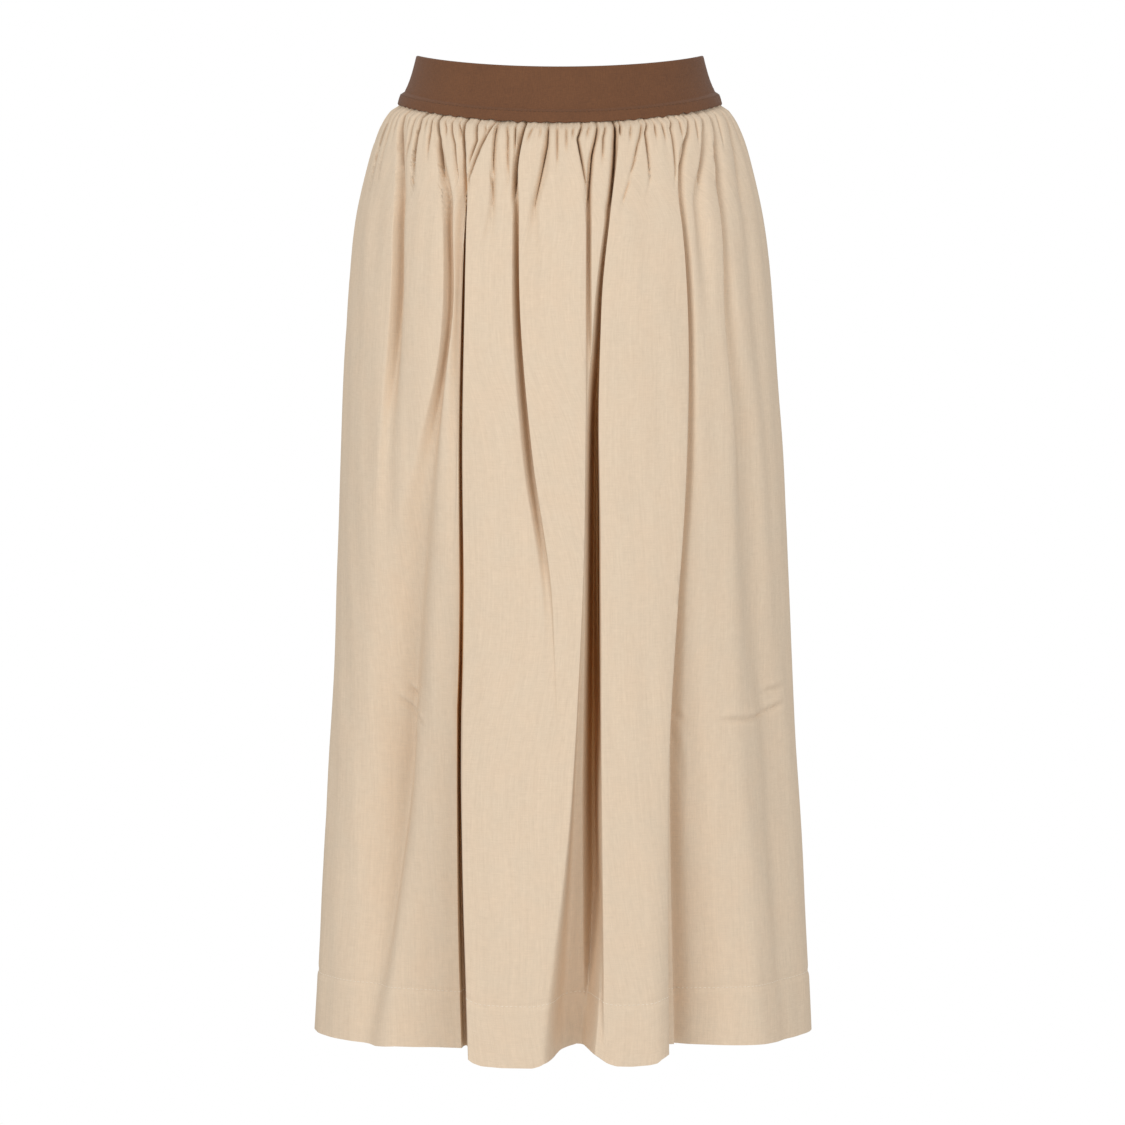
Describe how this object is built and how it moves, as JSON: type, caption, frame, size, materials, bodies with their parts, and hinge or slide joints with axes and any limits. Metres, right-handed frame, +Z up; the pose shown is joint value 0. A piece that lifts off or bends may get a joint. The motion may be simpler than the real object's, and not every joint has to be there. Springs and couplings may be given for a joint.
{
  "type": "gathered midi skirt",
  "caption": "Midi skirt of plain woven cloth, gathered into a wide elastic waistband, flaring gently in soft vertical folds to a turned-up hem.",
  "frame": {"origin": "centre of the waist, at the level of the waistband's top edge at the side seams", "axes": "+Z up the skirt, -Y out of its front, +X towards the right in a view of the front"},
  "size_m": [0.42, 0.3279, 0.8357],
  "materials": {
    "elastic": "ribbed woven elastic, matt brown",
    "cloth": "matt fine plain weave, pale beige"
  },
  "bodies": {
    "root": {"waistband": "elastic", "front_panel": "cloth", "back_panel": "cloth"}
  },
  "joints": []
}
